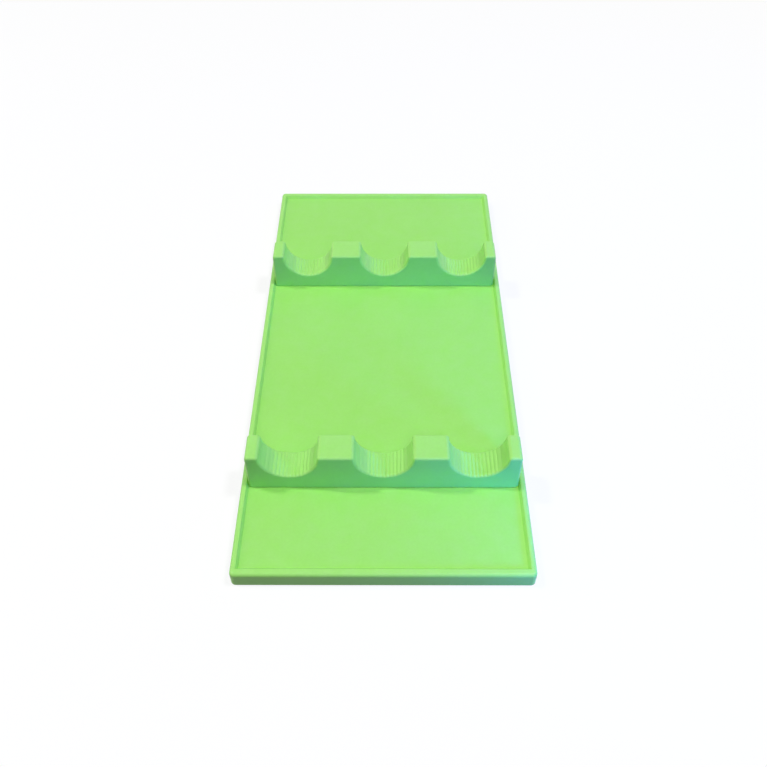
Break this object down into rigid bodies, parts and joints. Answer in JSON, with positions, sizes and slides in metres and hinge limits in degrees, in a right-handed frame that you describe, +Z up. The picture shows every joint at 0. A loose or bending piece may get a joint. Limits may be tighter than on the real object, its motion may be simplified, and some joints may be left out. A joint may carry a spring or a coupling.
{
  "type": "spoon rest",
  "caption": "Shallow rimmed tray with upright racks across it, whose half-round saddles hold the handles of kitchen tools while the tray catches drips.",
  "frame": {"origin": "middle of the tray's underside", "axes": "+Y along the tray towards its rear end, +X to the right seen from the front, +Z up"},
  "size_m": [0.092, 0.1926, 0.0196],
  "materials": {
    "green_plastic": "satin, layer-printed"
  },
  "bodies": {
    "root": {"tray": "green_plastic", "front_rack": "green_plastic", "rear_rack": "green_plastic"}
  },
  "joints": []
}
